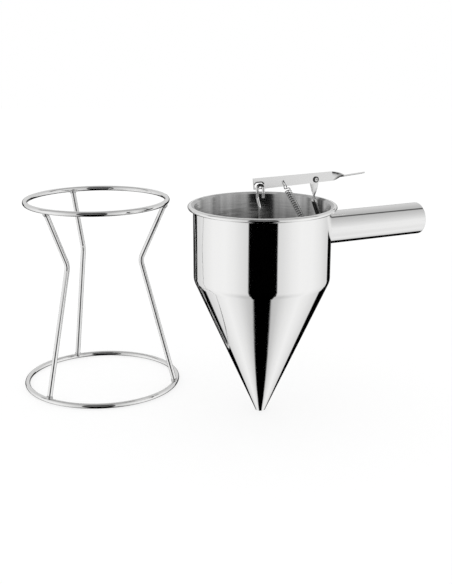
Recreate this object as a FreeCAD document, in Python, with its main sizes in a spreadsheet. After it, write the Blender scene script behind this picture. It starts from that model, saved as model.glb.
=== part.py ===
import FreeCAD, Part
import math
import os
import Sketcher

# Batter dispenser: a sheet-metal funnel with a tube handle, a thumb lever and a
# plunger that closes its outlet, beside the three-legged wire stand it is kept in.
# Origin: centre of the stand's base ring, on the table. +Z is up.
# The funnel is drawn about its own axis with its handle along +X, its outlet on
# the table, and then set beside the stand with the handle turned a little back.

doc = FreeCAD.newDocument("BatterDispenser")
sheet = doc.addObject("Spreadsheet::Sheet", "Dimensions")

# Sizes that are set by themselves, in millimetres and degrees
STAND_SIZES = {
    "ring_wire": 5.0,
    "leg_wire": 5.0,
    "ring_play": 4.3,
    "base_spread": 7.1,
    "seat_height": 51.8,
    "ring_above_corner": 10.6,
    "waist_height": 134.0,
    "waist_play": 0.3,
    "waist_bend": 14.0,
    "right_leg_angle": -10.0,
    "rear_leg_angle": 118.0,
    "front_leg_angle": 234.0,
    "weld_size": 3.3,
}

FUNNEL_SIZES = {
    "barrel_radius": 64.4,
    "sheet_wall": 1.0,
    "corner_height": 133.3,
    "barrel_height": 71.0,
    "corner_round": 14.0,
    "rim_overhang": 5.0,
    "bead_size": 4.0,
    "flare_height": 1.6,
    "outlet_radius": 4.65,
    "funnel_gap": 16.6,
    "funnel_ahead": -79.3,
    "handle_turn": 26.0,
}

HANDLE_SIZES = {
    "handle_size": 31.3,
    "handle_wall": 1.2,
    "handle_length": 110.2,
    "handle_below_bead": 9.05,
    "joint_weld": 0.9,
    "weld_reach": 2.0,
    "weld_back": 6.0,
    "weld_sink": 0.4,
    "cap_thickness": 2.4,
    "cap_edge": 1.1,
    "spigot_length": 5.0,
    "spigot_fit": 0.05,
}

PIVOT_SIZES = {
    "pivot_inset": 5.8,
    "pivot_rise": 19.1,
    "pin_size": 3.0,
    "pin_fit": 0.05,
    "head_size": 5.8,
    "head_height": 1.1,
    "head_dimple": 2.2,
    "spacer_size": 6.6,
    "spacer_thickness": 0.8,
    "side_play": 0.1,
}

LEVER_SIZES = {
    "lever_thickness": 1.3,
    "tail_margin": 1.6,
    "tail_width": 10.4,
    "tail_rise": 0.3,
    "tail_slant": 1.0,
    "neck_width": 8.8,
    "neck_rise": 1.9,
    "twist_after_pivot": 17.9,
    "twist_length": 11.8,
    "tab_length": 24.1,
    "tab_width": 9.0,
    "tab_lift": 1.2,
    "tab_rise": 1.5,
    "tab_turn": 75.0,
    "tab_corner": 3.4,
    "slot_offset": 1.7,
    "slot_drop": 1.2,
    "slot_travel": 6.2,
    "slot_play": 2.2,
    "spring_arm": 35.6,
    "eye_rise": 1.0,
    "eye_play": 1.4,
}

BRACKET_SIZES = {
    "bracket_thickness": 1.5,
    "bracket_width": 8.4,
    "shoulder_drop": 4.8,
    "twist_depth": 2.3,
    "twist_inset": 6.5,
    "foot_overrun": 2.2,
    "anchor_inset": 4.9,
    "anchor_edge": 2.5,
    "anchor_play": 2.2,
    "rivet_size": 3.0,
    "rivet_head": 5.6,
    "rivet_head_height": 0.9,
    "rivet_pitch": 9.0,
    "rivet_clearance": 1.2,
}

PLUNGER_SIZES = {
    "rod_size": 2.8,
    "rod_grip": 3.0,
    "knee_rise": 8.5,
    "knee_bend": 180.0,
    "rod_bend": 9.0,
    "stem_offset": 0.6,
    "stem_drop": 20.4,
    "hook_reach": -2.2,
    "hook_above_slot": 0.2,
    "hook_play": 1.15,
    "hook_turn": 60.0,
    "hook_leg": 12.4,
    "hook_tip": 11.4,
    "plug_low": 1.5,
    "plug_length": 9.5,
    "plug_taper": 4.5,
    "plug_neck": 3.2,
    "seal_gap": 0.35,
}

SPRING_SIZES = {
    "spring_wire": 0.8,
    "coil_radius": 2.85,
    "coil_turns": 21,
    "coil_start": 9.5,
    "coil_end": 6.0,
    "upper_hook_radius": 3.5,
    "lower_hook_radius": 3.2,
    "lower_hook_drop": 0.4,
}

# How far cutting tools run past the metal
CUTTING_SIZES = {
    "overrun": 10.0,
    "through_cut": 200.0,
}

# Sizes and places that follow from the others, so that the pieces keep their fit
FITTED_SIZES = {
    "rim_height": "{corner_height} + {barrel_height}",
    "rim_radius": "{barrel_radius} + {rim_overhang}",
    "cone_slope": "({barrel_radius} - {outlet_radius}) / {corner_height}",
    "top_ring_radius": "{barrel_radius} + {ring_play} + {ring_wire} / 2",
    "base_ring_radius": "{top_ring_radius} + {base_spread}",
    "stand_height": "{seat_height} + {corner_height} + {ring_above_corner}",
    "cone_at_waist": "{outlet_radius} + {cone_slope} * ({waist_height} - {seat_height})",
    "waist_radius": "{cone_at_waist} + {leg_wire} / 2 + {waist_play}",
    "funnel_across": "{base_ring_radius} + {rim_radius} + {funnel_gap}",
    "rim_depth": "{bead_size} + {handle_below_bead}",
    "handle_height": "{rim_height} - {rim_depth} - {handle_size} / 2",
    "handle_end": "{barrel_radius} + {handle_length}",
    "weld_end": "{barrel_radius} + {weld_reach}",
    "pivot_level": "{rim_height} + {pivot_rise}",
    "bracket_side": "{lever_thickness} / 2 + {side_play} + {spacer_thickness} + {bracket_thickness} / 2",
    "wall_reach": "sqrt(({barrel_radius} - {sheet_wall})^2 - {bracket_width}^2 / 4)",
    "foot_reach": "{wall_reach} - {bracket_thickness} / 2",
    "pivot_reach": "{foot_reach} - {pivot_inset}",
    "twist_reach": "{foot_reach} - {twist_inset}",
    "bracket_shoulder": "{pivot_level} - {shoulder_drop}",
    "twist_foot": "{rim_height} - {twist_depth}",
    "rivet_low": "{handle_height} - {rivet_pitch} / 2",
    "rivet_high": "{handle_height} + {rivet_pitch} / 2",
    "foot_top": "{rivet_high} + {rivet_head} / 2 + {foot_overrun}",
    "foot_low": "{rivet_low} - {rivet_head} / 2 - {rivet_clearance} - {bracket_thickness}",
    "anchor_hole_size": "{spring_wire} + {anchor_play}",
    "anchor_hole_reach": "{foot_reach} - {anchor_inset}",
    "anchor_reach": "{anchor_hole_reach} - {anchor_hole_size} / 2 - {anchor_edge}",
    "hook_radius": "{lever_thickness} / 2 + {rod_size} / 2 + {hook_play}",
    "slot_length": "{rod_size} + {slot_travel}",
    "slot_height": "{rod_size} + {slot_play}",
    "slot_reach": "{hook_reach} - {slot_offset}",
    "slot_level": "{pivot_level} - {slot_drop}",
    "eye_size": "{spring_wire} + {eye_play}",
    "eye_reach": "{pivot_reach} - {spring_arm}",
    "eye_level": "{pivot_level} + {eye_rise}",
    "tail_end": "{slot_reach} - {slot_length} / 2 - {tail_margin}",
    "tail_low": "{pivot_level} + {tail_rise} - {tail_width} / 2",
    "tail_high": "{pivot_level} + {tail_rise} + {tail_width} / 2",
    "twist_start": "{pivot_reach} + {twist_after_pivot}",
    "twist_low": "{pivot_level} + {neck_rise} - {neck_width} / 2",
    "twist_high": "{pivot_level} + {neck_rise} + {neck_width} / 2",
    "tab_level": "{pivot_level} + {tab_lift}",
    "tab_end": "{twist_start} + {twist_length} + {tab_length}",
    "plug_shoulder": "{plug_low} + {plug_length}",
    "plug_top": "{plug_shoulder} + {plug_taper}",
    "rod_base": "{plug_shoulder} - {rod_grip}",
    "rod_straight": "{plug_top} + {knee_rise}",
    "rod_top": "{slot_level} - {stem_drop}",
    "rod_top_reach": "{hook_reach} - {stem_offset}",
    "hook_shoulder": "{slot_level} - {hook_leg}",
    "hook_end": "{slot_level} - {hook_tip}",
}


def fillSheet(groups):
    row = 1
    for group in groups:
        for name, value in group.items():
            sheet.set("A%d" % row, name)
            sheet.set("B%d" % row, str(value))
            sheet.setAlias("B%d" % row, name)
            row += 1


fillSheet([STAND_SIZES, FUNNEL_SIZES, HANDLE_SIZES, PIVOT_SIZES, LEVER_SIZES,
           BRACKET_SIZES, PLUNGER_SIZES, SPRING_SIZES, CUTTING_SIZES])
doc.recompute()
fits = doc.addObject("App::VarSet", "Fits")


def cells(text):
    """Write {name} in an expression as the sheet's cell or the fitted size of that name."""
    for name in FITTED_SIZES:
        text = text.replace("{%s}" % name, "Fits." + name)
    return text.replace("{", "Dimensions.").replace("}", "")


for name, text in FITTED_SIZES.items():
    fits.addProperty("App::PropertyFloat", name)
    fits.setExpression(name, cells(text))
doc.recompute()


def size(name):
    if name in FITTED_SIZES:
        return getattr(fits, name)
    return float(sheet.get(name))


def bind(item, **properties):
    for name, text in properties.items():
        item.setExpression(name.replace("__", "."), cells(text))


# Parts of the funnel share one placement beside the stand.
funnelParts = []


def onFunnel(item, label):
    item.Label = label
    item.Placement = FreeCAD.Placement(
        FreeCAD.Vector(size("funnel_across"), size("funnel_ahead"), 0),
        FreeCAD.Rotation(FreeCAD.Vector(0, 0, 1), size("handle_turn")))
    bind(item, Placement__Base__x="{funnel_across}", Placement__Base__y="{funnel_ahead}",
         Placement__Rotation__Angle="{handle_turn}")
    funnelParts.append(item)
    return item


# Sketch helpers
def originPlane(body, role):
    return [plane for plane in body.Origin.OriginFeatures if plane.Role == role][0]


def newBody(name):
    return doc.addObject("PartDesign::Body", name)


def newSketch(body, name, role, height=None, across=None, along=None, turn=0.0):
    """A sketch on an origin plane, moved off it by the offsets that are given."""
    sketch = body.newObject("Sketcher::SketchObject", name)
    sketch.AttachmentSupport = [(originPlane(body, role), "")]
    sketch.MapMode = "FlatFace"
    sketch.AttachmentOffset = FreeCAD.Placement(
        FreeCAD.Vector(0, 0, 0), FreeCAD.Rotation(FreeCAD.Vector(0, 0, 1), turn))
    for axis, text in (("x", across), ("y", along), ("z", height)):
        if text is not None:
            sketch.setExpression("AttachmentOffset.Base." + axis, cells(text))
    return sketch


def pinPoint(sketch, edge, end, across, along):
    """Hold one point of a sketch at the place that two expressions give."""
    rough = sketch.getPoint(edge, end)
    for kind, text, value in (("DistanceX", across, rough.x), ("DistanceY", along, rough.y)):
        index = sketch.addConstraint(Sketcher.Constraint(kind, -1, 1, edge, end, value))
        sketch.setExpression("Constraints[%d]" % index, cells(text))


def addOutline(sketch, corners):
    """A closed outline of straight lines through corners given as expressions."""
    count = len(corners)
    first = sketch.GeometryCount
    rough = [FreeCAD.Vector(40 * math.cos(2 * math.pi * i / count),
                            40 * math.sin(2 * math.pi * i / count), 0) for i in range(count)]
    for i in range(count):
        sketch.addGeometry(Part.LineSegment(rough[i], rough[(i + 1) % count]))
    for i in range(count):
        sketch.addConstraint(Sketcher.Constraint(
            "Coincident", first + i, 2, first + (i + 1) % count, 1))
    for i, (across, along) in enumerate(corners):
        pinPoint(sketch, first + i, 1, across, along)


def addCircle(sketch, radius, across="0", along="0"):
    edge = sketch.addGeometry(Part.Circle(FreeCAD.Vector(1, 1, 0), FreeCAD.Vector(0, 0, 1), 1))
    index = sketch.addConstraint(Sketcher.Constraint("Radius", edge, 1.0))
    sketch.setExpression("Constraints[%d]" % index, cells(radius))
    pinPoint(sketch, edge, 3, across, along)


def addSlot(sketch, left, right, level, radius, start):
    """A round-ended slot. start holds rough values of left, right, level and radius."""
    leftX, rightX, y, r = start
    quarter = math.pi / 2
    up = FreeCAD.Vector(0, 0, 1)
    arcs = [Part.ArcOfCircle(Part.Circle(FreeCAD.Vector(leftX, y, 0), up, r), quarter, 3 * quarter),
            Part.ArcOfCircle(Part.Circle(FreeCAD.Vector(rightX, y, 0), up, r), -quarter, quarter)]
    leftArc = sketch.addGeometry(arcs[0])
    rightArc = sketch.addGeometry(arcs[1])
    low = sketch.addGeometry(Part.LineSegment(FreeCAD.Vector(leftX, y - r, 0),
                                              FreeCAD.Vector(rightX, y - r, 0)))
    high = sketch.addGeometry(Part.LineSegment(FreeCAD.Vector(rightX, y + r, 0),
                                               FreeCAD.Vector(leftX, y + r, 0)))
    for one, oneEnd, other, otherEnd in ((leftArc, 2, low, 1), (low, 2, rightArc, 1),
                                         (rightArc, 2, high, 1), (high, 2, leftArc, 1)):
        sketch.addConstraint(Sketcher.Constraint("Tangent", one, oneEnd, other, otherEnd))
    index = sketch.addConstraint(Sketcher.Constraint("Radius", leftArc, r))
    sketch.setExpression("Constraints[%d]" % index, cells(radius))
    pinPoint(sketch, leftArc, 3, left, level)
    index = sketch.addConstraint(Sketcher.Constraint("DistanceX", -1, 1, rightArc, 3, rightX))
    sketch.setExpression("Constraints[%d]" % index, cells(right))


def addPad(body, name, sketch, length, symmetric=False, backwards=False):
    pad = body.newObject("PartDesign::Pad", name)
    pad.Profile = sketch
    pad.SideType = "Symmetric" if symmetric else "One side"
    pad.Reversed = backwards
    bind(pad, Length=length)
    return pad


# The least a cut must take away, in cubic millimetres, and how near two places count as one
LEAST_CHIP = 0.01
TOUCH = 0.001


def cutThrough(body, name, sketch):
    """Cut a sketch right through the body, both ways from its plane."""
    doc.recompute()
    before = body.Shape.Volume
    pocket = body.newObject("PartDesign::Pocket", name)
    pocket.Profile = sketch
    pocket.SideType = "Symmetric"
    bind(pocket, Length="{through_cut}")
    doc.recompute()
    if body.Shape.Volume > before - LEAST_CHIP:
        raise RuntimeError(name + " cuts nothing")
    return pocket


def revolve(body, name, sketch, axis):
    turned = body.newObject("PartDesign::Revolution", name)
    turned.Profile = sketch
    turned.ReferenceAxis = (sketch, [axis])
    turned.Angle = 360.0
    return turned


def edgesAt(feature, reach, longest=math.inf, along="X"):
    """Names of the edges that lie whole at one distance along an axis, up to a length."""
    names = []
    for number, edge in enumerate(feature.Shape.Edges, 1):
        low, high = [getattr(edge.BoundBox, along + end) for end in ("Min", "Max")]
        if max(abs(low - reach), abs(high - reach)) < TOUCH and edge.Length < longest:
            names.append("Edge%d" % number)
    return names


# Helpers for plain solids
def cylinder(name, radius, height, **where):
    item = doc.addObject("Part::Cylinder", name)
    bind(item, Radius=radius, Height=height, **where)
    return item


def cone(name, lowRadius, highRadius, height, **where):
    item = doc.addObject("Part::Cone", name)
    bind(item, Radius1=lowRadius, Radius2=highRadius, Height=height, **where)
    return item


def torus(name, ringRadius, wireRadius, level):
    item = doc.addObject("Part::Torus", name)
    bind(item, Radius1=ringRadius, Radius2=wireRadius, Placement__Base__z=level)
    return item


def cut(name, base, tool):
    item = doc.addObject("Part::Cut", name)
    item.Base = base
    item.Tool = tool
    return item


def group(name, items):
    item = doc.addObject("Part::Compound", name)
    item.Links = items
    return item


# Stand: two rings of round wire
def makeRings():
    top = torus("TopRing", "{top_ring_radius}", "{ring_wire} / 2", "{stand_height} - {ring_wire} / 2")
    top.Label = "stand_top_ring"
    base = torus("BaseRing", "{base_ring_radius}", "{ring_wire} / 2", "{ring_wire} / 2")
    base.Label = "stand_base_ring"
    return top, base


# A leg is one wire bent at the waist, with both ends coped to the rings.
def makeLeg(name, label, angleCell, rings):
    body = newBody(name + "Wire")
    path = newSketch(body, name + "Path", "XZ_Plane")
    high = FreeCAD.Vector(size("top_ring_radius"), size("stand_height") - size("ring_wire") / 2, 0)
    waist = FreeCAD.Vector(size("waist_radius"), size("waist_height"), 0)
    low = FreeCAD.Vector(size("base_ring_radius"), size("ring_wire") / 2, 0)
    bend = size("waist_bend")
    toHigh = (high - waist).normalize()
    toLow = (low - waist).normalize()
    half = toHigh.getAngle(toLow) / 2
    upper = waist + toHigh * (bend / math.tan(half))
    lower = waist + toLow * (bend / math.tan(half))
    outward = (toHigh + toLow).normalize()
    middle = waist + outward * (bend / math.sin(half) - bend)
    path.addGeometry(Part.LineSegment(high, upper))
    path.addGeometry(Part.Arc(upper, middle, lower))
    path.addGeometry(Part.LineSegment(lower, low))
    path.addGeometry(Part.Point(waist), True)
    startsHigh = (path.Geometry[1].StartPoint - upper).Length < 0.001
    highEnd, lowEnd = (1, 2) if startsHigh else (2, 1)
    path.addConstraint(Sketcher.Constraint("Tangent", 0, 2, 1, highEnd))
    path.addConstraint(Sketcher.Constraint("Tangent", 1, lowEnd, 2, 1))
    index = path.addConstraint(Sketcher.Constraint("Radius", 1, bend))
    path.setExpression("Constraints[%d]" % index, cells("{waist_bend}"))
    path.addConstraint(Sketcher.Constraint("PointOnObject", 3, 1, 0))
    path.addConstraint(Sketcher.Constraint("PointOnObject", 3, 1, 2))
    pinPoint(path, 0, 1, "{top_ring_radius}", "{stand_height} - {ring_wire} / 2")
    pinPoint(path, 2, 2, "{base_ring_radius}", "{ring_wire} / 2")
    pinPoint(path, 3, 1, "{waist_radius}", "{waist_height}")
    doc.recompute()
    section = body.newObject("Sketcher::SketchObject", name + "Section")
    section.AttachmentSupport = [(path, "Edge1")]
    section.MapMode = "NormalToEdge"
    section.MapPathParameter = 0.0
    addCircle(section, "{leg_wire} / 2")
    doc.recompute()
    pipe = body.newObject("PartDesign::AdditivePipe", name + "Pipe")
    pipe.Profile = section
    pipe.Spine = (path, ["Edge1", "Edge2", "Edge3"])
    bind(body, Placement__Rotation__Angle="{%s}" % angleCell)
    leg = cut(name, body, rings)
    leg.Label = label
    return leg


def legEnd(angleCell, ringRadius, level):
    """Where a leg's centre line meets a ring's, and the way back along the leg."""
    angle = math.radians(size(angleCell))
    out = FreeCAD.Vector(math.cos(angle), math.sin(angle), 0)
    end = out * ringRadius + FreeCAD.Vector(0, 0, level)
    waist = out * size("waist_radius") + FreeCAD.Vector(0, 0, size("waist_height"))
    return end, (waist - end).normalize()


# Weld beads: a small round blob at each leg end, less the ring and the leg
def makeWelds(label, ringRadius, level, rings, legs):
    beads = []
    for angleCell in ("right_leg_angle", "rear_leg_angle", "front_leg_angle"):
        end, back = legEnd(angleCell, ringRadius, level)
        blob = Part.makeSphere(size("weld_size"), end + back * (size("ring_wire") / 2))
        blob = blob.cut(rings.Shape).cut(legs.Shape)
        beads.append(max(blob.Solids, key=lambda solid: solid.Volume))
    item = doc.addObject("Part::Feature", label)
    item.Shape = Part.makeCompound(beads)
    item.Label = label
    return item


# Funnel: one outline for the outside and one for the inside, rounded where the
# barrel turns into the cone, and parted at the seam between the two sheets
def makeFunnelSolid(name, inset, rounding):
    body = newBody(name)
    sketch = newSketch(body, name + "Half", "XZ_Plane")
    lip = "{rim_radius} - {bead_size} / 2 - " + inset
    addOutline(sketch, [("0", "0"), ("{outlet_radius} - " + inset, "0"),
                        ("{barrel_radius} - " + inset, "{corner_height}"),
                        ("{barrel_radius} - " + inset,
                         "{rim_height} - {flare_height} - {sheet_wall} + " + inset),
                        (lip, "{rim_height}"), ("0", "{rim_height}")])
    turned = revolve(body, name + "Turned", sketch, "V_Axis")
    doc.recompute()
    rounded = body.newObject("PartDesign::Fillet", name + "Corner")
    rounded.Base = (turned, edgesAt(turned, size("corner_height"), along="Z"))
    bind(rounded, Radius=rounding)
    return body


def common(name, base, tool):
    item = doc.addObject("Part::Common", name)
    item.Base = base
    item.Tool = tool
    return item


def makeFunnelSheet():
    return cut("FunnelSheet", makeFunnelSolid("FunnelOutside", "0", "{corner_round}"),
               makeFunnelSolid("FunnelInside", "{sheet_wall}", "{corner_round} - {sheet_wall}"))


# The barrel's edge is rolled outwards into a bead
def makeBarrel(sheetMetal):
    wall = common("BarrelWall", sheetMetal,
                  cylinder("AboveSeam", "{rim_radius} + {overrun}", "{rim_height} - {corner_height}",
                           Placement__Base__z="{corner_height}"))
    bead = torus("RimBead", "{rim_radius} - {bead_size} / 2", "{bead_size} / 2",
                 "{rim_height} - {bead_size} / 2")
    joined = doc.addObject("Part::MultiFuse", "BarrelSheet")
    joined.Shapes = [wall, bead]
    joined.Refine = True
    holes = []
    for name, level in (("RivetHoleLow", "{rivet_low}"), ("RivetHoleHigh", "{rivet_high}")):
        hole = cylinder(name, "{rivet_size} / 2", "{barrel_radius} + {overrun}", Placement__Base__z=level)
        hole.Placement.Rotation = FreeCAD.Rotation(FreeCAD.Vector(0, 1, 0), 90)
        holes.append(hole)
    return onFunnel(cut("Barrel", joined, group("RivetHoles", holes)), "funnel_barrel")


def makeCone(sheetMetal):
    below = cylinder("BelowSeam", "{rim_radius} + {overrun}", "{corner_height}")
    return onFunnel(common("Cone", sheetMetal, below), "funnel_cone")


# Handle: a tube coped to the barrel and turned down where the weld bead lies, and an end cap
def alongHandle(item):
    item.Placement.Rotation = FreeCAD.Rotation(FreeCAD.Vector(0, 1, 0), 90)
    bind(item, Placement__Base__z="{handle_height}")
    return item


def makeHandleTube():
    body = newBody("HandleStock")
    sketch = newSketch(body, "HandleSection", "YZ_Plane")
    addCircle(sketch, "{handle_size} / 2", "0", "{handle_height}")
    addCircle(sketch, "{handle_size} / 2 - {handle_wall}", "0", "{handle_height}")
    addPad(body, "HandleRun", sketch, "{handle_end}")
    coped = cut("HandleCoped", body, cylinder("HandleCope", "{barrel_radius}", "{rim_height}"))
    rebate = cut("WeldRebate",
                 alongHandle(cylinder("RebateOutside", "{handle_size} / 2 + {overrun}", "{weld_end}")),
                 alongHandle(cylinder("RebateInside", "{handle_size} / 2 - {weld_sink}", "{weld_end}")))
    return onFunnel(cut("HandleTube", coped, rebate), "handle_tube")


def makeHandleWeld():
    run = "({weld_back} + {weld_reach})"
    bead = alongHandle(cone("WeldOutside", "{handle_size} / 2 + {joint_weld} * %s / {weld_reach}" % run,
                            "{handle_size} / 2", run, Placement__Base__x="{barrel_radius} - {weld_back}"))
    bore = alongHandle(cylinder("WeldBore", "{handle_size} / 2 - {weld_sink}", "{weld_end} + {overrun}"))
    ring = cut("WeldRing", bead, bore)
    barrel = cylinder("WeldCope", "{barrel_radius}", "{rim_height}")
    return onFunnel(cut("HandleWeld", ring, barrel), "handle_weld")


def makeHandleCap():
    body = newBody("HandleCap")
    disc = newSketch(body, "CapDisc", "YZ_Plane", "{handle_end}")
    addCircle(disc, "{handle_size} / 2", "0", "{handle_height}")
    face = addPad(body, "CapFace", disc, "{cap_thickness}")
    doc.recompute()
    end = size("handle_end") + size("cap_thickness")
    rounded = body.newObject("PartDesign::Fillet", "CapEdge")
    rounded.Base = (face, edgesAt(face, end))
    bind(rounded, Radius="{cap_edge}")
    spigot = newSketch(body, "CapSpigot", "YZ_Plane", "{handle_end}")
    addCircle(spigot, "{handle_size} / 2 - {handle_wall} - {spigot_fit}", "0", "{handle_height}")
    addPad(body, "CapPlug", spigot, "{spigot_length}", backwards=True)
    return onFunnel(body, "handle_end_cap")


# Lever: an upright strip, turned flat by a quarter twist into the thumb tab
TWIST_STEPS = 8


def addLoft(body, name, sections):
    loft = body.newObject("PartDesign::AdditiveLoft", name)
    loft.Profile = sections[0]
    loft.Sections = sections[1:]
    loft.Ruled = True
    return loft


def addBar(sketch, width, height):
    addOutline(sketch, [("-(%s) / 2" % width, "-(%s) / 2" % height),
                        ("(%s) / 2" % width, "-(%s) / 2" % height),
                        ("(%s) / 2" % width, "(%s) / 2" % height),
                        ("-(%s) / 2" % width, "(%s) / 2" % height)])


def makeLever():
    body = newBody("Lever")
    strip = newSketch(body, "LeverOutline", "XZ_Plane")
    addOutline(strip, [("{tail_end} + {tail_slant}", "{tail_low}"), ("{twist_start}", "{twist_low}"),
                       ("{twist_start}", "{twist_high}"), ("{tail_end}", "{tail_high}")])
    addPad(body, "LeverStrip", strip, "{lever_thickness}", symmetric=True)
    sections = []
    for step in range(TWIST_STEPS + 1):
        share = step / TWIST_STEPS
        level = "({twist_low} + {twist_high}) / 2 * %g + {tab_level} * %g" % (1 - share, share)
        height = "({twist_high} - {twist_low}) * %g + {tab_width} * %g" % (1 - share, share)
        section = newSketch(body, "LeverTwist%d" % step, "YZ_Plane", turn=size("tab_turn") * share,
                            height="{twist_start} + {twist_length} * %g" % share, along=level)
        addBar(section, "{lever_thickness}", height)
        sections.append(section)
    addLoft(body, "LeverTwist", sections)
    ends = []
    for name, reach, level in (("TabRoot", "{twist_start} + {twist_length}", "{tab_level}"),
                               ("TabEnd", "{tab_end}", "{tab_level} + {tab_rise}")):
        section = newSketch(body, name, "YZ_Plane", turn=size("tab_turn"), height=reach, along=level)
        addBar(section, "{lever_thickness}", "{tab_width}")
        ends.append(section)
    tab = addLoft(body, "ThumbTab", ends)
    doc.recompute()
    rounded = body.newObject("PartDesign::Fillet", "TabCorners")
    rounded.Base = (tab, edgesAt(tab, size("tab_end"), size("tab_width") / 2))
    bind(rounded, Radius="{tab_corner}")
    doc.recompute()
    slot = newSketch(body, "HookSlot", "XZ_Plane")
    half = (size("slot_length") - size("slot_height")) / 2
    addSlot(slot, "{slot_reach} - ({slot_length} - {slot_height}) / 2",
            "{slot_reach} + ({slot_length} - {slot_height}) / 2", "{slot_level}",
            "{slot_height} / 2",
            (size("slot_reach") - half, size("slot_reach") + half, size("slot_level"),
             size("slot_height") / 2))
    cutThrough(body, "HookSlotCut", slot)
    holes = newSketch(body, "LeverHoles", "XZ_Plane")
    addCircle(holes, "{eye_size} / 2", "{eye_reach}", "{eye_level}")
    addCircle(holes, "{pin_size} / 2 + {pin_fit}", "{pivot_reach}", "{pivot_level}")
    cutThrough(body, "LeverHolesCut", holes)
    return onFunnel(body, "lever")


# Bracket: a strip whose upper end holds the pivot, twisted to lie on the barrel wall
def makeBracket():
    body = newBody("Bracket")
    tongue = newSketch(body, "BracketTongue", "XZ_Plane", height="-{bracket_side}")
    left = "{pivot_reach} - {bracket_width} / 2"
    right = "{pivot_reach} + {bracket_width} / 2"
    addOutline(tongue, [(left, "{bracket_shoulder}"), (right, "{bracket_shoulder}"),
                        (right, "{pivot_level}"), (left, "{pivot_level}")])
    addPad(body, "TonguePlate", tongue, "{bracket_thickness}", symmetric=True)
    crown = newSketch(body, "BracketCrown", "XZ_Plane", height="-{bracket_side}")
    addCircle(crown, "{bracket_width} / 2", "{pivot_reach}", "{pivot_level}")
    addPad(body, "TongueCrown", crown, "{bracket_thickness}", symmetric=True)
    sections = []
    for step in range(TWIST_STEPS + 1):
        share = step / TWIST_STEPS
        section = newSketch(
            body, "BracketTwist%d" % step, "XY_Plane", turn=90.0 * share,
            across="{pivot_reach} * %g + {twist_reach} * %g" % (1 - share, share),
            along="{bracket_side} * %g" % (1 - share),
            height="{bracket_shoulder} * %g + {twist_foot} * %g" % (1 - share, share))
        addBar(section, "{bracket_width}", "{bracket_thickness}")
        sections.append(section)
    for name, level in (("FootTop", "{foot_top}"), ("FootEnd", "{foot_low}")):
        section = newSketch(body, name, "XY_Plane", turn=90.0, across="{foot_reach}", height=level)
        addBar(section, "{bracket_width}", "{bracket_thickness}")
        sections.append(section)
    addLoft(body, "BracketStrip", sections)
    anchor = newSketch(body, "AnchorTab", "XZ_Plane")
    addOutline(anchor, [("{anchor_reach}", "{foot_low}"), ("{foot_reach}", "{foot_low}"),
                        ("{foot_reach}", "{foot_low} + {bracket_thickness}"),
                        ("{anchor_reach}", "{foot_low} + {bracket_thickness}")])
    addPad(body, "AnchorTabPad", anchor, "{bracket_width}", symmetric=True)
    eye = newSketch(body, "AnchorEye", "XY_Plane", height="{foot_low}")
    addCircle(eye, "{anchor_hole_size} / 2", "{anchor_hole_reach}", "0")
    doc.recompute()
    pocket = body.newObject("PartDesign::Pocket", "AnchorEyeCut")
    pocket.Profile = eye
    pocket.SideType = "Symmetric"
    bind(pocket, Length="{bracket_thickness} + {overrun}")
    pin = newSketch(body, "PivotHole", "XZ_Plane")
    addCircle(pin, "{pin_size} / 2", "{pivot_reach}", "{pivot_level}")
    cutThrough(body, "PivotHoleCut", pin)
    rivets = newSketch(body, "FootHoles", "YZ_Plane")
    addCircle(rivets, "{rivet_size} / 2", "0", "{rivet_low}")
    addCircle(rivets, "{rivet_size} / 2", "0", "{rivet_high}")
    cutThrough(body, "FootHolesCut", rivets)
    return onFunnel(body, "lever_bracket")


# Rivets that hold the bracket's foot; their outer heads are inside the handle
def makeBracketRivets():
    rivets = []
    for name, level in (("RivetLow", "{rivet_low}"), ("RivetHigh", "{rivet_high}")):
        inner = "{foot_reach} - {bracket_thickness} / 2"
        pieces = []
        for part, radius, start, end in (
                ("Shank", "{rivet_size} / 2", inner, "{barrel_radius}"),
                ("InnerHead", "{rivet_head} / 2", inner + " - {rivet_head_height}", inner),
                ("OuterHead", "{rivet_head} / 2", "{barrel_radius}",
                 "{barrel_radius} + {rivet_head_height}")):
            piece = cylinder(name + part, radius, "%s - (%s)" % (end, start),
                             Placement__Base__x=start, Placement__Base__z=level)
            piece.Placement.Rotation = FreeCAD.Rotation(FreeCAD.Vector(0, 1, 0), 90)
            pieces.append(piece)
        rivet = doc.addObject("Part::MultiFuse", name)
        rivet.Shapes = pieces
        rivets.append(rivet)
    return onFunnel(group("BracketRivets", rivets), "bracket_rivets")


# Pivot: a rivet with a dimpled head on the near side, and a spacer behind the lever
def makePivotRivet():
    body = newBody("PivotRivet")
    near = "(-{lever_thickness} / 2 - {side_play})"
    far = "({bracket_side} + {bracket_thickness} / 2)"
    sketch = newSketch(body, "RivetHalf", "YZ_Plane")
    shank = "{pin_size} / 2"
    head = "{head_size} / 2"
    addOutline(sketch, [(near + " - {head_height} / 2", "{pivot_level}"),
                        (near + " - {head_height}", "{pivot_level} + {head_dimple} / 2"),
                        (near + " - {head_height} / 2", "{pivot_level} + " + head),
                        (near, "{pivot_level} + " + head),
                        (near, "{pivot_level} + " + shank),
                        (far, "{pivot_level} + " + shank),
                        (far, "{pivot_level} + " + head),
                        (far + " + {head_height} / 2", "{pivot_level} + " + head),
                        (far + " + {head_height}", "{pivot_level} + " + shank),
                        (far + " + {head_height}", "{pivot_level}")])
    level = size("pivot_level")
    axis = sketch.addGeometry(Part.LineSegment(FreeCAD.Vector(-1, level, 0),
                                               FreeCAD.Vector(1, level, 0)), True)
    pinPoint(sketch, axis, 1, near + " - {head_height}", "{pivot_level}")
    pinPoint(sketch, axis, 2, far + " + {head_height}", "{pivot_level}")
    sketch.setExpression("AttachmentOffset.Base.z", cells("{pivot_reach}"))
    revolve(body, "RivetTurned", sketch, "Axis0")
    return onFunnel(body, "pivot_rivet")


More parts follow.
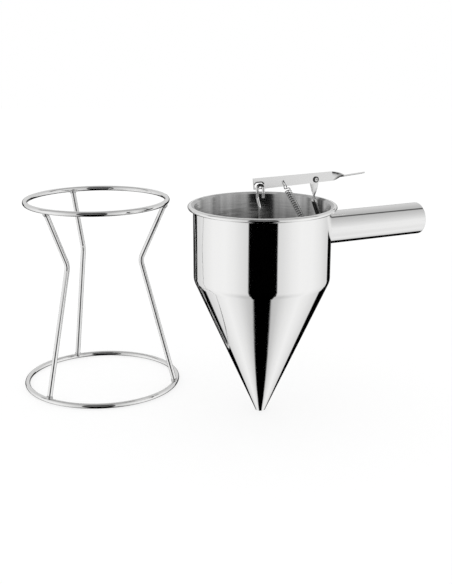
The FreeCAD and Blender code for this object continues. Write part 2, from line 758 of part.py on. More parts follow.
def makeSpacer():
    body = newBody("PivotSpacer")
    sketch = newSketch(body, "SpacerRing", "XZ_Plane",
                       height="-({lever_thickness} / 2 + {side_play})")
    addCircle(sketch, "{spacer_size} / 2", "{pivot_reach}", "{pivot_level}")
    addCircle(sketch, "{pin_size} / 2", "{pivot_reach}", "{pivot_level}")
    addPad(body, "SpacerPad", sketch, "{spacer_thickness}", backwards=True)
    return onFunnel(body, "pivot_spacer")


# Plunger: a plug that follows the cone, on a wire rod hooked through the lever
def makePlug():
    body = newBody("Plug")
    seat = "{outlet_radius} - {sheet_wall} - {seal_gap} + {cone_slope} * "
    sketch = newSketch(body, "PlugHalf", "XZ_Plane")
    addOutline(sketch, [("0", "{plug_low}"), (seat + "{plug_low}", "{plug_low}"),
                        (seat + "{plug_shoulder}", "{plug_shoulder}"),
                        ("{plug_neck}", "{plug_top}"), ("{rod_size} / 2", "{plug_top}"),
                        ("{rod_size} / 2", "{rod_base}"), ("0", "{rod_base}")])
    revolve(body, "PlugTurned", sketch, "V_Axis")
    return onFunnel(body, "valve_plug")


def arcBetween(start, heading, end):
    """An edge from start to end that sets off along heading; straight if it can be."""
    chord = end - start
    along = chord.normalize()
    chord = end - start
    side = heading - along * heading.dot(along)
    if side.Length < TOUCH ** 2:
        return Part.LineSegment(start, end).toShape()
    halfSweep = heading.getAngle(along)
    middle = (start + end) * 0.5 + side.normalize() * (chord.Length / 2 * math.tan(halfSweep / 2))
    return Part.Arc(start, middle, end).toShape()


def roundedPath(points, bends):
    """Straight runs through points, joined by tangent arcs of the given radii."""
    edges = []
    start = points[0]
    for before, corner, after, bend in zip(points, points[1:], points[2:], bends):
        inward = (corner - before).normalize()
        outward = (after - corner).normalize()
        turn = inward.getAngle(outward)
        reach = bend * math.tan(turn / 2)
        first = corner - inward * reach
        last = corner + outward * reach
        edges.append(Part.LineSegment(start, first).toShape())
        edges.append(arcBetween(first, inward, last))
        start = last
    edges.append(Part.LineSegment(start, points[-1]).toShape())
    return edges


def pipe(edges, heading, radius):
    """A round tube along edges that join end to end."""
    start = edges[0].valueAt(edges[0].FirstParameter)
    section = Part.Wire([Part.Circle(start, heading, radius).toShape()])
    return Part.Wire(edges).makePipeShell([section], True, False)


def makeRod():
    lean = math.radians(size("hook_turn"))
    across = FreeCAD.Vector(math.cos(lean), -math.sin(lean), 0) * size("hook_radius")
    crestLevel = size("slot_level") + size("hook_above_slot")
    centre = FreeCAD.Vector(size("hook_reach"), 0, crestLevel - size("hook_radius"))
    low = FreeCAD.Vector(0, 0, size("rod_base"))
    knee = FreeCAD.Vector(0, 0, size("rod_straight"))
    top = FreeCAD.Vector(size("rod_top_reach"), 0, size("rod_top"))
    rise = centre - across
    fall = centre + across
    shoulder = FreeCAD.Vector(rise.x, rise.y, size("hook_shoulder"))
    tip = FreeCAD.Vector(fall.x, fall.y, size("hook_end"))
    crest = centre + FreeCAD.Vector(0, 0, size("hook_radius"))
    bend = size("rod_bend")
    edges = roundedPath([low, knee, top, shoulder, rise], [size("knee_bend"), bend, bend])
    edges.append(Part.Arc(rise, crest, fall).toShape())
    edges.append(Part.LineSegment(fall, tip).toShape())
    item = doc.addObject("Part::Feature", "Rod")
    item.Shape = pipe(edges, FreeCAD.Vector(0, 0, 1), size("rod_size") / 2)
    return onFunnel(item, "plunger_rod")


# Return spring: close turns between two open hooks a quarter turn apart
def biarc(start, heading, end, arrival):
    """Two arcs that leave start along heading and reach end along arrival."""
    gap = end - start
    both = heading + arrival
    fold = 2 * (1 - heading.dot(arrival))
    if fold < TOUCH ** 2:
        return [Part.LineSegment(start, end).toShape()]
    reach = gap.dot(both)
    length = (math.sqrt(reach * reach + fold * gap.dot(gap)) - reach) / fold
    joint = (start + end + (heading - arrival) * length) * 0.5
    along = (joint - start).normalize()
    turned = along * (2 * heading.dot(along)) - heading
    return [arcBetween(start, heading, joint), arcBetween(joint, turned, end)]


def springStations():
    """Points and headings down the spring, a quarter turn or less apart."""
    eye = FreeCAD.Vector(size("eye_reach"), 0, size("eye_level"))
    lowRadius = size("lower_hook_radius")
    lowest = size("foot_low") - size("spring_wire") / 2 - size("lower_hook_drop")
    lowCentreZ = lowest + lowRadius
    rise = lowCentreZ - size("foot_low") - size("bracket_thickness") / 2
    lowCentre = FreeCAD.Vector(size("anchor_hole_reach") - math.sqrt(lowRadius ** 2 - rise ** 2),
                               0, lowCentreZ)
    down = (lowCentre - eye).normalize()
    side = FreeCAD.Vector(0, 1, 0)
    across = down.cross(side)
    stations = []

    def hookStation(centre, radius, out, degrees):
        turn = math.radians(degrees)
        place = centre + (down * -math.cos(turn) + out * math.sin(turn)) * radius
        stations.append((place, down * math.sin(turn) + out * math.cos(turn)))

    highCentre = eye + down * size("upper_hook_radius")
    for degrees in (-150, -75, 0, 60, 115):
        hookStation(highCentre, size("upper_hook_radius"), side, degrees)
    whole = (lowCentre - eye).Length
    first = size("coil_start")
    last = whole - size("coil_end")
    turns = int(size("coil_turns"))
    pitch = (last - first) / turns
    radius = size("coil_radius")
    for quarter in range(4 * turns + 1):
        turn = quarter * math.pi / 2
        out = side * math.cos(turn) + across * math.sin(turn)
        place = eye + down * (first + pitch * quarter / 4) + out * radius
        heading = (across * math.cos(turn) - side * math.sin(turn)) * (2 * math.pi * radius)
        stations.append((place, (heading + down * pitch).normalize()))
    for degrees in (75, 130, 200, 270, 325):
        hookStation(lowCentre, lowRadius, across, degrees)
    return stations


# The self-gap is sampled this finely, between stretches of wire at least so many
# thicknesses apart along it and no more than a few turns away.
SAMPLE_STEP = 0.35
THICKNESSES_APART = 3.5
SAMPLES_AHEAD = 120


def leastSelfGap(wire, thickness):
    """Least clear space between stretches of a wire that aren't neighbours."""
    points = wire.discretize(Distance=SAMPLE_STEP)
    apart = int(THICKNESSES_APART * thickness * (len(points) - 1) / wire.Length) + 1
    least = math.inf
    for i, point in enumerate(points):
        for other in points[i + apart:i + apart + SAMPLES_AHEAD]:
            least = min(least, point.distanceToPoint(other))
    return least - thickness


def makeSpring():
    thickness = size("spring_wire")
    stations = springStations()
    place, heading = stations[0]
    edges = [Part.LineSegment(place - heading * thickness, place).toShape()]
    for (start, leave), (end, reach) in zip(stations, stations[1:]):
        edges += biarc(start, leave, end, reach)
    place, heading = stations[-1]
    edges.append(Part.LineSegment(place, place + heading * thickness).toShape())
    radii = [edge.Curve.Radius for edge in edges if isinstance(edge.Curve, Part.Circle)]
    item = doc.addObject("Part::Feature", "Spring")
    item.Shape = pipe(edges, stations[0][1], thickness / 2)
    wire = Part.Wire(edges)
    print("spring: length of wire %.1f mm, least bend radius %.2f mm, least self-gap %.2f mm"
          % (wire.Length, min(radii), leastSelfGap(wire, thickness)))
    print("spring: volume over section times length %.4f"
          % (item.Shape.Volume / (math.pi * thickness ** 2 / 4 * wire.Length)))
    return onFunnel(item, "return_spring")


topRing, baseRing = makeRings()
rings = group("Rings", [topRing, baseRing])
legs = [makeLeg("RightLeg", "stand_leg_right", "right_leg_angle", rings),
        makeLeg("RearLeg", "stand_leg_rear", "rear_leg_angle", rings),
        makeLeg("FrontLeg", "stand_leg_front", "front_leg_angle", rings)]
legGroup = group("Legs", legs)
doc.recompute()
standParts = [topRing, baseRing] + legs + [
    makeWelds("stand_top_welds", size("top_ring_radius"),
              size("stand_height") - size("ring_wire") / 2, rings, legGroup),
    makeWelds("stand_base_welds", size("base_ring_radius"), size("ring_wire") / 2, rings, legGroup)]

sheetMetal = makeFunnelSheet()
makeBarrel(sheetMetal)
makeCone(sheetMetal)
makeHandleTube()
makeHandleWeld()
makeHandleCap()
makeLever()
makeBracket()
makeBracketRivets()
makePivotRivet()
makeSpacer()
makePlug()
makeRod()
makeSpring()
doc.recompute()

for item in doc.Objects:
    if "Invalid" in item.State or "Error" in item.State:
        raise RuntimeError("%s failed: %s" % (item.Label, item.State))

os.makedirs("parts", exist_ok=True)
nodes = standParts + funnelParts
for node in nodes:
    if node.Shape.isNull() or not node.Shape.isValid() or not node.Shape.Solids:
        raise RuntimeError(node.Label + " has no valid solid")
for node in nodes:
    node.Shape.exportStep("parts/%s.step" % node.Label)
    print("%s: %d solid(s), %.1f mm3" % (node.Label, len(node.Shape.Solids), node.Shape.Volume))
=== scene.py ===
import math

import bpy
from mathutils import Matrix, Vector


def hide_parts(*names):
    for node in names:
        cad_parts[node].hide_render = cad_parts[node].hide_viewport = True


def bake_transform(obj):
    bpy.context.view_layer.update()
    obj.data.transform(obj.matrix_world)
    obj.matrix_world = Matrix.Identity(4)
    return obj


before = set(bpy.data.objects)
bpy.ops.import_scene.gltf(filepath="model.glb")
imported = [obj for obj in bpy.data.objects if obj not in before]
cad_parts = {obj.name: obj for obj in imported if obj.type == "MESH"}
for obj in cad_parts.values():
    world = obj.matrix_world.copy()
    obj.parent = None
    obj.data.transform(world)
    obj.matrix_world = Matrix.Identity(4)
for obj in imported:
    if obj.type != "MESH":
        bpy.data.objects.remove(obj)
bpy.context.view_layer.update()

# Where the funnel stands and how far its handle is turned back (metres, degrees)
funnel = {
    "axis": Vector((0.1643, -0.0793, 0.0)),
    "turn": 26.0,
}


def onFunnel(along, aside, height):  # along the handle, away from the camera, up
    turn = math.radians(funnel["turn"])
    return funnel["axis"] + Vector((along * math.cos(turn) - aside * math.sin(turn),
                                    along * math.sin(turn) + aside * math.cos(turn), height))


class Field:
    # a number that varies over a surface; arithmetic on it adds Math nodes
    def __init__(self, tree, socket):
        self.tree = tree
        self.socket = socket

    def maths(self, operation, *values, clamp=False):
        settings = {"operation": operation, "use_clamp": clamp}
        return addNode(self.tree, "ShaderNodeMath", settings, dict(enumerate(values)))

    def __add__(self, other):
        return self.maths("ADD", self, other)

    def __radd__(self, other):
        return self.maths("ADD", other, self)

    def __sub__(self, other):
        return self.maths("SUBTRACT", self, other)

    def __rsub__(self, other):
        return self.maths("SUBTRACT", other, self)

    def __mul__(self, other):
        return self.maths("MULTIPLY", self, other)

    def __rmul__(self, other):
        return self.maths("MULTIPLY", other, self)

    def __truediv__(self, other):
        return self.maths("DIVIDE", self, other)

    def larger(self, other):
        return self.maths("MAXIMUM", self, other)

    def __abs__(self):
        return self.maths("ABSOLUTE", self)

    def clamped(self):  # kept between 0 and 1
        return self.maths("ADD", self, 0.0, clamp=True)

    def edge(self, sharpness):  # 0 below zero, rising to 1 over one part in sharpness
        return (self * sharpness).clamped()

    def angleTo(self, other):
        return self.maths("ARCTAN2", self, other)


def addNode(tree, kind, settings=None, values=None, output=0):
    node = tree.nodes.new(kind)
    for name, value in (settings or {}).items():
        if name == "stops":
            elements = node.color_ramp.elements
            while len(elements) < len(value):
                elements.new(0.5)
            for element, (spot, grey) in zip(elements, value):
                element.position = spot
                element.color = (grey, grey, grey, 1.0)
        else:
            setattr(node, name, value)
    for name, value in (values or {}).items():
        if isinstance(value, Field):
            tree.links.new(value.socket, node.inputs[name])
        else:
            node.inputs[name].default_value = value
    return Field(tree, node.outputs[output])


def split(tree, vector):
    node = tree.nodes.new("ShaderNodeSeparateXYZ")
    tree.links.new(vector.socket, node.inputs[0])
    return [Field(tree, output) for output in node.outputs]


def newMaterial(name):
    material = bpy.data.materials.new(name)
    material.use_nodes = True
    material.node_tree.nodes.clear()
    return material, material.node_tree


def closeMaterial(tree, shader):
    output = tree.nodes.new("ShaderNodeOutputMaterial")
    tree.links.new(shader.socket, output.inputs["Surface"])


def surfacePoint(tree):  # in the frame's metres
    return addNode(tree, "ShaderNodeTexCoord", output=3)


def stretched(tree, point, origin, turn, scale):
    # the point moved, turned and scaled, so that noise can run along a piece
    moved = vectorMaths(tree, "SUBTRACT", point, origin)
    turned = addNode(tree, "ShaderNodeVectorRotate", {"rotation_type": "EULER_XYZ"},
                     {"Vector": moved, "Rotation": turn})
    return vectorMaths(tree, "MULTIPLY", turned, scale)


def noise(tree, point, scale, detail=2.0, roughness=0.5):
    return addNode(tree, "ShaderNodeTexNoise", {"noise_dimensions": "3D"},
                   {"Vector": point, "Scale": scale, "Detail": detail, "Roughness": roughness})


def metalShader(tree, grey, rough, normal):
    return addNode(tree, "ShaderNodeBsdfPrincipled", values={
        "Base Color": grey, "Roughness": rough, "Metallic": 1.0, "Normal": normal})


def combined(tree, x, y, z):
    return addNode(tree, "ShaderNodeCombineXYZ", values={"X": x, "Y": y, "Z": z})


def vectorMaths(tree, operation, *vectors):
    # a vector, or a number from the operations that give one
    single = operation in ("LENGTH", "DOT_PRODUCT")
    return addNode(tree, "ShaderNodeVectorMath", {"operation": operation},
                   dict(enumerate(vectors)), output=1 if single else 0)


def steelGrey(tree, low, high, mask):
    # a grey between two levels, faintly warm
    return addNode(tree, "ShaderNodeMix", {"data_type": "RGBA"},
                   {0: mask, 6: (low, low * 0.997, low * 0.992, 1.0),
                    7: (high, high * 0.999, high * 0.996, 1.0)}, output=2)


def mixed(tree, mask, first, second):
    return addNode(tree, "ShaderNodeMix", {"data_type": "RGBA"},
                   {0: mask, 6: first, 7: second}, output=2)


def bumped(tree, height, distance, strength):
    return addNode(tree, "ShaderNodeBump", {}, {"Height": height, "Distance": distance,
                                                "Strength": strength})


# Shared by all the metals: size of the smudges, how many there are, and the strength of the lines
surface = {"smudgeSize": 35.0, "smudgeFrom": 0.4, "lineRelief": 0.3}


def makeMetal(name, finish, paintedShade=None):
    # metal with brush lines, which run along the axis whose grain is small, and optional painted
    # shade
    material, tree = newMaterial(name)
    point = surfacePoint(tree)
    along = stretched(tree, point, finish.get("origin", (0, 0, 0)), finish.get("turn", (0, 0, 0)),
                      finish["grain"])
    lines = noise(tree, along, finish["fineness"], 2.0)
    smudge = noise(tree, point, surface["smudgeSize"], 4.0)
    rough = finish["rough"] + finish["smudge"] * (smudge - surface["smudgeFrom"]).clamped() \
        + finish["lines"] * (lines - 0.5)
    grey = steelGrey(tree, finish["grey"] * (1 - finish["contrast"]), finish["grey"], lines)
    # painted shade: where the mask is 1, the colour goes to the finish's dark grey
    if paintedShade:
        grey = mixed(tree, paintedShade(tree, point), grey, (finish["dark"],) * 3 + (1.0,))
    relief = bumped(tree, lines, finish["depthShade"], surface["lineRelief"])
    closeMaterial(tree, metalShader(tree, grey, rough, relief))
    return material


def paint(material, *nodes):
    for name in nodes:
        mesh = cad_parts[name].data
        mesh.materials.clear()
        mesh.materials.append(material)
        for polygon in mesh.polygons:
            polygon.material_index = 0


# Stand
wireFinish = {"grey": 0.90, "rough": 0.035, "smudge": 0.04, "lines": 0.01, "contrast": 0.03,
              "grain": (1.0, 1.0, 1.0), "fineness": 300.0, "depthShade": 0.00001}
beadFinish = {"grey": 0.72, "rough": 0.30, "smudge": 0.10, "lines": 0.12, "contrast": 0.25,
              "grain": (1.0, 1.0, 1.0), "fineness": 900.0, "depthShade": 0.0002}

paint(makeMetal("chromeWire", wireFinish), "stand_top_ring", "stand_base_ring",
      "stand_leg_right", "stand_leg_rear", "stand_leg_front")
paint(makeMetal("weldMetal", beadFinish), "stand_top_welds", "stand_base_welds", "handle_weld")
print("stand finished")

# Funnel sheet: mirror outside; inside, brush strokes round the wall throw the light upwards
sheetFinish = {
    "grey": 0.93, "rough": 0.05, "smudge": 0.05, "smudgeSize": 22.0, "rings": 0.02,
    # inside, the grey is painted shade: much darker than the mirror outside, with random brush
    # bands and strokes mixed in
    "insideLow": 0.05, "insideHigh": 0.78, "insideRough": 0.16, "insideLines": 0.08,
    "lift": 0.42, "liftSpread": 0.30,
    # noise scales: fine rings outside; upright bands and strokes round the wall inside
    "ringFineness": 2600.0, "bandSize": 110.0, "strokeFineness": 900.0,
    "insideGrey": 0.20, "bandShare": 0.30, "strokeShare": 0.35,
    # inside, painted shade darkens the sheet below a height; the bead starts at a radius and is
    # mirror bright
    "litAbove": 0.1965, "fade": 15.0, "deepest": -0.24, "beadFrom": 0.0661,
    # painted dark reflections inside, as upright streaks: bearing from the back, half width,
    # strength
    "darkReflections": ((1.10, 0.085, 0.60), (-1.12, 0.045, 0.14), (-0.70, 0.045, 0.14), (0.0, 0.17, 0.10)),
}


def makeSheetMetal():
    material, tree = newMaterial("funnelSheet")
    point = surfacePoint(tree)
    centre = tuple(funnel["axis"])
    x, y, z = split(tree, vectorMaths(tree, "SUBTRACT", point, centre))
    spoke = combined(tree, x, y, 0.0)
    facing = addNode(tree, "ShaderNodeNewGeometry", output=1)
    outward = vectorMaths(tree, "DOT_PRODUCT", vectorMaths(tree, "NORMALIZE", spoke), facing)
    upward = split(tree, facing)[2]
    onBead = (vectorMaths(tree, "LENGTH", spoke) - sheetFinish["beadFrom"]).edge(2500.0)
    inside = (0.5 - (outward - upward * 0.3) * 6.0).clamped() * (1 - onBead)

    def grain(scale, fineness, detail=2.0):
        return noise(tree, stretched(tree, point, centre, (0, 0, 0), scale),
                     sheetFinish[fineness], detail)

    smudge = noise(tree, point, sheetFinish["smudgeSize"], 4.0)
    rings = grain((0.02, 0.02, 1.0), "ringFineness")
    bands = grain((1.0, 1.0, 0.04), "bandSize", 3.0)
    strokes = grain((0.05, 0.05, 1.0), "strokeFineness", 3.0)
    roughOut = sheetFinish["rough"] \
        + sheetFinish["smudge"] * (smudge - surface["smudgeFrom"]).clamped() \
        + sheetFinish["rings"] * (rings - 0.5)
    roughIn = sheetFinish["insideRough"] + sheetFinish["insideLines"] * (strokes - 0.5)
    rough = roughOut + (roughIn - roughOut) * inside
    bearing = x.angleTo(y)
    # painted shade: the inside grows darker below litAbove, down to the deepest level
    depthShade = ((z - sheetFinish["litAbove"]) * sheetFinish["fade"]).larger(sheetFinish["deepest"])
    shade = (bands - 0.32).edge(2.6) * sheetFinish["bandShare"] \
        + strokes * sheetFinish["strokeShare"] + sheetFinish["insideGrey"] + depthShade
    # painted dark reflections: darker upright streaks at the listed bearings
    for middle, width, strength in sheetFinish["darkReflections"]:
        shade = shade - (1.5 - abs(bearing - middle) / width).clamped() * strength
    # the inside's grey, set between two levels by the painted shade
    shadedGreyIn = steelGrey(tree, sheetFinish["insideLow"], sheetFinish["insideHigh"], shade.clamped())
    greyOut = steelGrey(tree, sheetFinish["grey"] * 0.98, sheetFinish["grey"], rings)
    lift = (sheetFinish["lift"] + (strokes - 0.5) * sheetFinish["liftSpread"]) * inside
    tilted = vectorMaths(tree, "NORMALIZE", vectorMaths(
        tree, "ADD", bumped(tree, rings, 0.00002, 0.25), combined(tree, 0.0, 0.0, lift)))
    closeMaterial(tree, metalShader(tree, mixed(tree, inside, greyOut, shadedGreyIn), rough, tilted))
    return material


paint(makeSheetMetal(), "funnel_barrel", "funnel_cone")

# Handle, lever works and plunger
handleTurn = (0, 0, -math.radians(funnel["turn"]))
tubeFinish = {"grey": 0.90, "rough": 0.055, "smudge": 0.04, "lines": 0.04, "contrast": 0.05,
              "origin": tuple(funnel["axis"]), "turn": handleTurn,
              "grain": (0.03, 1.0, 1.0), "fineness": 1400.0, "depthShade": 0.00002}
stripFinish = {"grey": 0.80, "dark": 0.03, "contrast": 0.08,
               "rough": 0.24, "smudge": 0.05, "lines": 0.08,
               "origin": tuple(funnel["axis"]), "turn": handleTurn,
               "grain": (0.04, 1.0, 1.0), "fineness": 2600.0, "depthShade": 0.00002}
rodFinish = {"grey": 0.84, "dark": 0.05, "contrast": 0.05,
             "rough": 0.08, "smudge": 0.04, "lines": 0.05,
             "grain": (1.0, 1.0, 0.04), "fineness": 2400.0, "depthShade": 0.00002}
rivetFinish = {"grey": 0.85, "dark": 0.04, "contrast": 0.10,
               "rough": 0.12, "smudge": 0.05, "lines": 0.06,
               "grain": (1.0, 1.0, 1.0), "fineness": 1600.0, "depthShade": 0.00002}

# Painted shade: dark rings round the upper half of the slot and on the rivet's dimpled head: the
# middle along the handle and up, half the slot's straight part, radius, half width, and how far
# above the middle the painted shade starts
slotShadeRing = {"along": -0.0039, "height": 0.2222, "straight": 0.0020,
            "radius": 0.0030, "width": 0.0009, "above": 0.0005}
rivetShadeRing = {"along": 0.05671, "height": 0.2234, "straight": 0.0,
             "radius": 0.0026, "width": 0.0014, "above": -0.0060}
hookShadeAbove = 0.2206  # the top of the rod's hook is painted dark above this level: painted shade where it sits in the slot


def shadeRingOf(ring):
    middle = tuple(onFunnel(ring["along"], 0, ring["height"]))

    def mask(tree, point):
        near = split(tree, stretched(tree, point, middle, handleTurn, (1, 1, 1)))
        along, up = near[0], near[2]
        beyond = (abs(along) - ring["straight"]).larger(0.0)
        distance = vectorMaths(tree, "LENGTH", combined(tree, beyond, 0.0, up))
        upper = (up - ring["above"]).edge(1500.0)
        return (1.6 - abs(distance - ring["radius"]) * 1.6 / ring["width"]).clamped() * upper
    return mask


# painted shade on the hook's top
def hookCrestShade(tree, point):
    return (split(tree, point)[2] - hookShadeAbove).edge(1000.0)


paint(makeMetal("handleTube", tubeFinish), "handle_tube", "handle_end_cap")
paint(makeMetal("satinStrip", stripFinish, shadeRingOf(slotShadeRing)), "lever", "lever_bracket")
paint(makeMetal("drawnWire", rodFinish, hookCrestShade), "plunger_rod", "valve_plug")
paint(makeMetal("rivetMetal", rivetFinish, shadeRingOf(rivetShadeRing)), "pivot_rivet", "pivot_spacer",
      "bracket_rivets")
print("funnel finished")

# Return spring: even turns between two open hooks, at the places that the frame's spring has
spring = {
    "wire": 0.0008,
    "coilRadius": 0.00285,
    "turns": 21,
    "coilStart": 0.0095,
    "coilEnd": 0.0060,
    "eye": (0.02111, 0.2244),
    "upperHook": 0.0035,
    "lowerHook": 0.0032,
    "footLow": 0.1656,
    "tab": 0.0015,
    "anchorHole": 0.05761,
    "drop": 0.0004,
    "sides": 10,
    "steps": 5,
    # places round each hook, in degrees from its top
    "upperPlaces": (-170, -150, -75, 0, 60, 115),
    "lowerPlaces": (75, 130, 200, 270, 325, 340),
    # how far a quarter turn's ends pull along their headings, in chords, to stay round
    "roundPull": 1.17,
}
# dark is the grey of the painted shade on the inner side of the turns
springFinish = {"grey": 0.95, "dark": 0.01, "contrast": 0.15,
                "rough": 0.15, "smudge": 0.03, "lines": 0.05,
                "grain": (1.0, 1.0, 1.0), "fineness": 1800.0, "depthShade": 0.00001}


def springStations():
    side = onFunnel(0, 1, 0) - onFunnel(0, 0, 0)
    eye = onFunnel(spring["eye"][0], 0, spring["eye"][1])
    lowLevel = spring["footLow"] - spring["wire"] / 2 - spring["drop"] + spring["lowerHook"]
    rise = lowLevel - spring["footLow"] - spring["tab"] / 2
    lowReach = spring["anchorHole"] - math.sqrt(spring["lowerHook"] ** 2 - rise ** 2)
    low = onFunnel(lowReach, 0, lowLevel)
    down = (low - eye).normalized()
    across = down.cross(side)
    stations = []

    def hook(centre, radius, out, angles):
        for angle in angles:
            turn = math.radians(angle)
            spot = centre + (out * math.sin(turn) - down * math.cos(turn)) * radius
            stations.append((spot, down * math.sin(turn) + out * math.cos(turn)))

    hook(eye + down * spring["upperHook"], spring["upperHook"], side, spring["upperPlaces"])
    length = (low - eye).length - spring["coilStart"] - spring["coilEnd"]
    pitch = length / spring["turns"]
    for quarter in range(4 * spring["turns"] + 1):
        turn = quarter * math.pi / 2
        out = side * math.cos(turn) + across * math.sin(turn)
        way = across * math.cos(turn) - side * math.sin(turn)
        spot = eye + down * (spring["coilStart"] + pitch * quarter / 4) + out * spring["coilRadius"]
        heading = way * (2 * math.pi * spring["coilRadius"]) + down * pitch
        stations.append((spot, heading.normalized()))
    hook(low, spring["lowerHook"], across, spring["lowerPlaces"])
    return stations, eye, low


def smoothPath(stations, steps):
    # a curve through the stations that keeps their headings
    points = []
    for (start, leave), (end, reach) in zip(stations, stations[1:]):
        pull = spring["roundPull"] * (end - start).length
        for step in range(steps):
            t = step / steps
            points.append(start * (2 * t ** 3 - 3 * t ** 2 + 1)
                          + leave * pull * (t ** 3 - 2 * t ** 2 + t)
                          + end * (3 * t ** 2 - 2 * t ** 3) + reach * pull * (t ** 3 - t ** 2))
    points.append(stations[-1][0])
    return points


def tubeAlong(name, points, radius, sides, material):
    corners = []
    faces = []
    heading = (points[1] - points[0]).normalized()
    out = heading.orthogonal().normalized()
    for index, point in enumerate(points):
        ahead = points[min(index + 1, len(points) - 1)] - points[max(index - 1, 0)]
        out = (out - ahead.normalized() * out.dot(ahead.normalized())).normalized()
        aside = ahead.normalized().cross(out)
        for side in range(sides):
            turn = 2 * math.pi * side / sides
            corners.append(point + (out * math.cos(turn) + aside * math.sin(turn)) * radius)
        if index:
            ring = (index - 1) * sides
            for side in range(sides):
                after = (side + 1) % sides
                faces.append((ring + side, ring + after, ring + sides + after, ring + sides + side))
    faces.append(tuple(reversed(range(sides))))
    faces.append(tuple(range(len(corners) - sides, len(corners))))
    mesh = bpy.data.meshes.new(name)
    mesh.from_pydata(corners, [], faces)
    mesh.shade_smooth()
    mesh.materials.append(material)
    piece = bpy.data.objects.new(name, mesh)
    bpy.context.scene.collection.objects.link(piece)
    return piece


def coilInsideShade(tree, point):
    # painted shade: 1 on the side of the wire that faces the middle of the coil, where the turns
    # shade it, 0 on the outside
    way = (springFoot - springTop).normalized()
    offset = vectorMaths(tree, "SUBTRACT", point, tuple(springTop))
    distance = vectorMaths(tree, "LENGTH", vectorMaths(tree, "CROSS_PRODUCT", offset, tuple(way)))
    return (0.9 - (distance - spring["coilRadius"]) * 3 / spring["wire"]).clamped()


stations, springTop, springFoot = springStations()
coil = tubeAlong("returnSpring", smoothPath(stations, spring["steps"]), spring["wire"] / 2,
                 spring["sides"], makeMetal("springWire", springFinish, coilInsideShade))
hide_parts("return_spring")
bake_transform(coil)
print("spring wound")

# Studio: a white floor in a white tent with a slit for the camera, seen in the metal
studio = {
    "floorSize": 6.0,
    "floorDrop": 0.0002,
    "floorWhite": 0.90,
    "floorGlow": 1.12,
    "glowShare": 0.62,
    "tentLight": 0.95,
    "overhead": 0.50,
    # brightness of the tent by bearing, from the camera's side (0) to the back (1)
    "round": ((0.0, 0.72), (0.126, 0.72), (0.19, 0.79), (0.27, 0.89),
              (0.36, 0.95), (0.50, 0.94), (0.62, 0.85), (0.72, 0.73), (1.0, 0.70)),
    "nearDim": 0.27,
    # the slit's half width per part towards the camera; on the table, its slope and middle
    "slit": 0.44,
    "tableSlope": 0.75,
    "tableWidth": 0.4775,
    # a bright bar across it, its level and half height, and the level that closes the slit
    "barLevel": 0.16,
    "barHalf": 0.09,
    "slitTop": 0.78,
    # the dark room behind: half width, what it gains low down, its top, and a faint glow in it
    "room": 0.92,
    "roomLow": 0.13,
    "roomTop": 0.06,
    "glowWidth": 0.45,
    "roomGlow": 0.16,
    "seamDark": 0.85,
}


def makeFloor():
    material, tree = newMaterial("whiteFloor")
    path = tree.nodes.new("ShaderNodeLightPath")
    seen = Field(tree, path.outputs["Is Camera Ray"])
    matte = addNode(tree, "ShaderNodeBsdfDiffuse", values={
        "Color": (studio["floorWhite"],) * 3 + (1.0,)})
    glow = addNode(tree, "ShaderNodeEmission", values={
        "Color": (1, 1, 1, 1), "Strength": studio["floorGlow"]})
    closeMaterial(tree, addNode(tree, "ShaderNodeMixShader", values={
        0: seen * studio["glowShare"], 1: matte, 2: glow}))
    half = studio["floorSize"] / 2
    mesh = bpy.data.meshes.new("floor")
    mesh.from_pydata([(-half, -half, 0), (half, -half, 0), (half, half, 0), (-half, half, 0)], [],
                     [(0, 1, 2, 3)])
    mesh.materials.append(material)
    floor = bpy.data.objects.new("floor", mesh)
    floor.location.z = -studio["floorDrop"]
    floor.visible_glossy = False
    bpy.context.scene.collection.objects.link(floor)


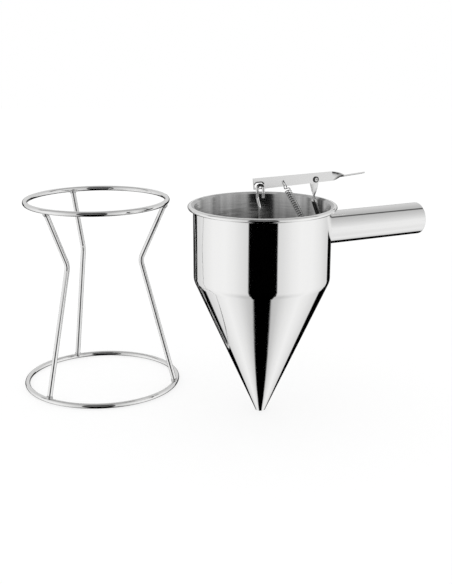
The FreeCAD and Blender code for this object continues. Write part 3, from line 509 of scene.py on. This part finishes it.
def makeTent():
    world = bpy.data.worlds.new("tent")
    bpy.context.scene.world = world
    world.use_nodes = True
    tree = world.node_tree
    tree.nodes.clear()
    path = tree.nodes.new("ShaderNodeLightPath")
    mirrored = Field(tree, path.outputs["Is Glossy Ray"])
    seen = Field(tree, path.outputs["Is Camera Ray"])
    x, y, z = split(tree, addNode(tree, "ShaderNodeTexCoord"))
    across = abs(x)
    bearing = across.angleTo(0 - y) / math.pi
    bright = addNode(tree, "ShaderNodeValToRGB", {"stops": studio["round"]}, {"Fac": bearing})
    overhead = 1 - z.clamped() * (1 - y.clamped()) * studio["overhead"]
    low = (0 - z - 0.4).edge(3.0)
    near = 1 - (0.5 - bearing).edge(3.7) * low * studio["nearDim"]
    # the slit the camera looks through, wider on the table under the tip
    onTable = y * studio["tableSlope"] + studio["tableWidth"] - (z + 0.6).edge(2.0)
    slitWidth = (y * (0 - studio["slit"])).larger(onTable)
    slit = ((slitWidth - across) * 40.0 + 0.5).clamped() * (0.1 - y).edge(20.0)
    bar = (studio["barHalf"] - abs(z - studio["barLevel"])).edge(20.0) \
        + (z - studio["slitTop"]).edge(10.0)
    slit = slit * (1 - bar)
    # the dark room behind and below, and a seam overhead
    spread = studio["room"] + (0 - z - 0.3).edge(3.0) * studio["roomLow"]
    glow = (y * studio["glowWidth"] - across).edge(6.0) * (z + 0.42).edge(8.0) * studio["roomGlow"]
    behind = (y * spread - across).edge(20.0) * (studio["roomTop"] - z).edge(25.0) * (1 - glow)
    seam = (1.5 - abs(y - z * 0.2) * 14.0).clamped() * (z - 0.3).edge(10.0)
    level = bright * overhead * near * (1 - slit) * (1 - behind) * (1 - studio["seamDark"] * seam)
    dark = addNode(tree, "ShaderNodeBackground", values={"Color": (0, 0, 0, 1), "Strength": 0.0})
    white = addNode(tree, "ShaderNodeBackground", values={"Color": (1, 1, 1, 1), "Strength": 1.0})
    plain = addNode(tree, "ShaderNodeBackground", values={
        "Color": (1, 1, 1, 1), "Strength": studio["tentLight"]})
    tent = addNode(tree, "ShaderNodeMixShader", values={0: level, 1: dark, 2: white})
    light = addNode(tree, "ShaderNodeMixShader", values={0: mirrored, 1: plain, 2: tent})
    whole = addNode(tree, "ShaderNodeMixShader", values={0: seen, 1: light, 2: white})
    output = tree.nodes.new("ShaderNodeOutputWorld")
    tree.links.new(whole.socket, output.inputs["Surface"])


makeFloor()
makeTent()
print("studio built")

# Camera: fitted to the photo's two rings, rim and handle
view = {"place": (0.1306, -0.9782, 0.3764), "pitch": 15.94, "focal": 60.6}
camera = bpy.data.objects.new("camera", bpy.data.cameras.new("camera"))
bpy.context.scene.collection.objects.link(camera)
camera.location = view["place"]
camera.rotation_euler = (math.radians(90.0 - view["pitch"]), 0, 0)
camera.data.lens = view["focal"]
bpy.context.scene.camera = camera
bpy.context.scene.view_settings.view_transform = "Standard"
